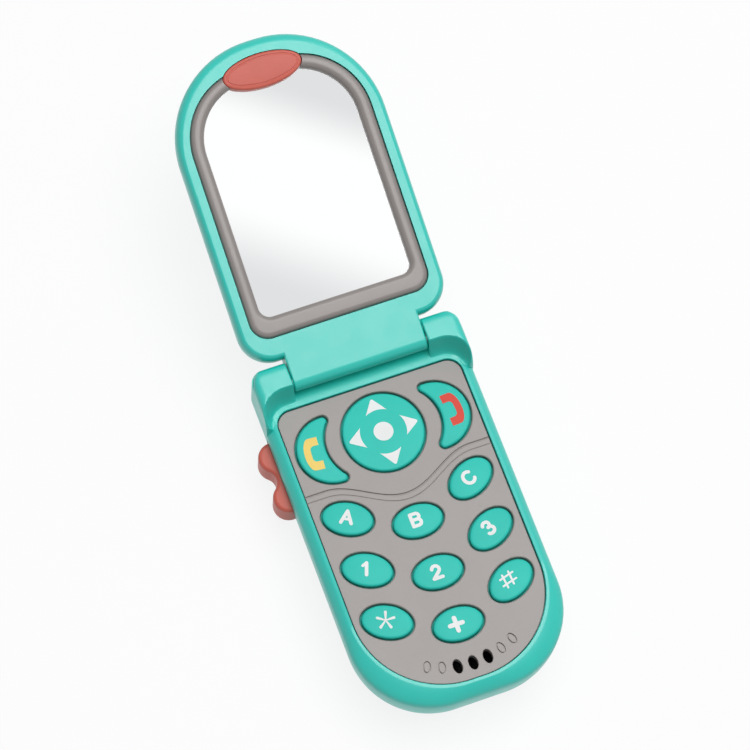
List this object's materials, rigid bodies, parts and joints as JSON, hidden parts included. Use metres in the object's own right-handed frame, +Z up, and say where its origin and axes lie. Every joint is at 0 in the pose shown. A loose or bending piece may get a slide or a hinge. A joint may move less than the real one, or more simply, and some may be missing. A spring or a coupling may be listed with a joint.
{
  "type": "toy cell phone",
  "caption": "Open flip toy phone: arched lid with a framed mirror, hinged to a rounded base with press keys, a round pad and a side rocker.",
  "frame": {"origin": "on the flat back of the base, midway between its two ends", "axes": "+X across the phone, +Y along it towards the lid, +Z up from the surface it lies on"},
  "size_m": [0.0615, 0.1802, 0.0518],
  "materials": {
    "teal_shell": "smooth moulded, soft gloss",
    "teal_key": "smooth moulded with printed signs",
    "grey_face": "fine satin texture",
    "coral": "smooth moulded",
    "mirror": "silvered acrylic sheet",
    "key_rubber": "silicone",
    "board": "solder mask",
    "dark_plastic": "moulded",
    "speaker_paper": "pressed paper",
    "cell_jacket": "plain jacket",
    "red_wire": "flexible sleeve",
    "black_wire": "flexible sleeve",
    "steel": "zinc plated"
  },
  "bodies": {
    "base": {"base_front_shell": "teal_shell", "base_rear_shell": "teal_shell", "keypad_fascia": "grey_face", "key_mat": "key_rubber", "main_board": "board", "sound_chip": "dark_plastic", "board_screws": "steel", "case_screws": "steel", "hinge_pin": "steel", "battery_door": "teal_shell", "battery_door_screw": "steel", "battery_cells": "cell_jacket", "battery_springs": "steel", "battery_plates": "steel", "battery_leads": "red_wire", "speaker_frame": "dark_plastic", "speaker_cone": "speaker_paper", "speaker_magnet": "steel", "speaker_leads": "black_wire", "side_switch_board": "board", "side_switches": "dark_plastic"},
    "lid": {"lid_front_shell": "teal_shell", "lid_rear_shell": "teal_shell", "mirror_bezel": "grey_face", "mirror_sheet": "mirror", "badge": "coral", "lid_screws": "steel"},
    "nav_pad": {"nav_pad": "teal_key"},
    "call_key": {"call_key": "teal_key"},
    "end_key": {"end_key": "teal_key"},
    "key_a": {"key_a": "teal_key"},
    "key_b": {"key_b": "teal_key"},
    "key_c": {"key_c": "teal_key"},
    "key_1": {"key_1": "teal_key"},
    "key_2": {"key_2": "teal_key"},
    "key_3": {"key_3": "teal_key"},
    "key_star": {"key_star": "teal_key"},
    "key_plus": {"key_plus": "teal_key"},
    "key_hash": {"key_hash": "teal_key"},
    "side_rocker": {"side_rocker": "coral"}
  },
  "joints": [
    {"name": "lid_hinge", "type": "hinge", "parent": "base", "child": "lid", "pos_m": [0, 0.0445, 0.025], "axis": [1, 0, 0], "range_deg": [0, 163.74]},
    {"name": "nav_pad_press", "type": "slide", "parent": "base", "child": "nav_pad", "axis": [0, 0, -1], "range_m": [0, 0.001], "stiffness_N_per_m": 800},
    {"name": "call_key_press", "type": "slide", "parent": "base", "child": "call_key", "axis": [0, 0, -1], "range_m": [0, 0.001], "stiffness_N_per_m": 800},
    {"name": "end_key_press", "type": "slide", "parent": "base", "child": "end_key", "axis": [0, 0, -1], "range_m": [0, 0.001], "stiffness_N_per_m": 800},
    {"name": "key_a_press", "type": "slide", "parent": "base", "child": "key_a", "axis": [0, 0, -1], "range_m": [0, 0.001], "stiffness_N_per_m": 800},
    {"name": "key_b_press", "type": "slide", "parent": "base", "child": "key_b", "axis": [0, 0, -1], "range_m": [0, 0.001], "stiffness_N_per_m": 800},
    {"name": "key_c_press", "type": "slide", "parent": "base", "child": "key_c", "axis": [0, 0, -1], "range_m": [0, 0.001], "stiffness_N_per_m": 800},
    {"name": "key_1_press", "type": "slide", "parent": "base", "child": "key_1", "axis": [0, 0, -1], "range_m": [0, 0.001], "stiffness_N_per_m": 800},
    {"name": "key_2_press", "type": "slide", "parent": "base", "child": "key_2", "axis": [0, 0, -1], "range_m": [0, 0.001], "stiffness_N_per_m": 800},
    {"name": "key_3_press", "type": "slide", "parent": "base", "child": "key_3", "axis": [0, 0, -1], "range_m": [0, 0.001], "stiffness_N_per_m": 800},
    {"name": "key_star_press", "type": "slide", "parent": "base", "child": "key_star", "axis": [0, 0, -1], "range_m": [0, 0.001], "stiffness_N_per_m": 800},
    {"name": "key_plus_press", "type": "slide", "parent": "base", "child": "key_plus", "axis": [0, 0, -1], "range_m": [0, 0.001], "stiffness_N_per_m": 800},
    {"name": "key_hash_press", "type": "slide", "parent": "base", "child": "key_hash", "axis": [0, 0, -1], "range_m": [0, 0.001], "stiffness_N_per_m": 800},
    {"name": "rocker_tilt", "type": "hinge", "parent": "base", "child": "side_rocker", "pos_m": [-0.0236, 0.0238, 0.012], "axis": [0, 0, 1], "range_deg": [-5, 5], "stiffness_Nm_per_rad": 0.09}
  ]
}
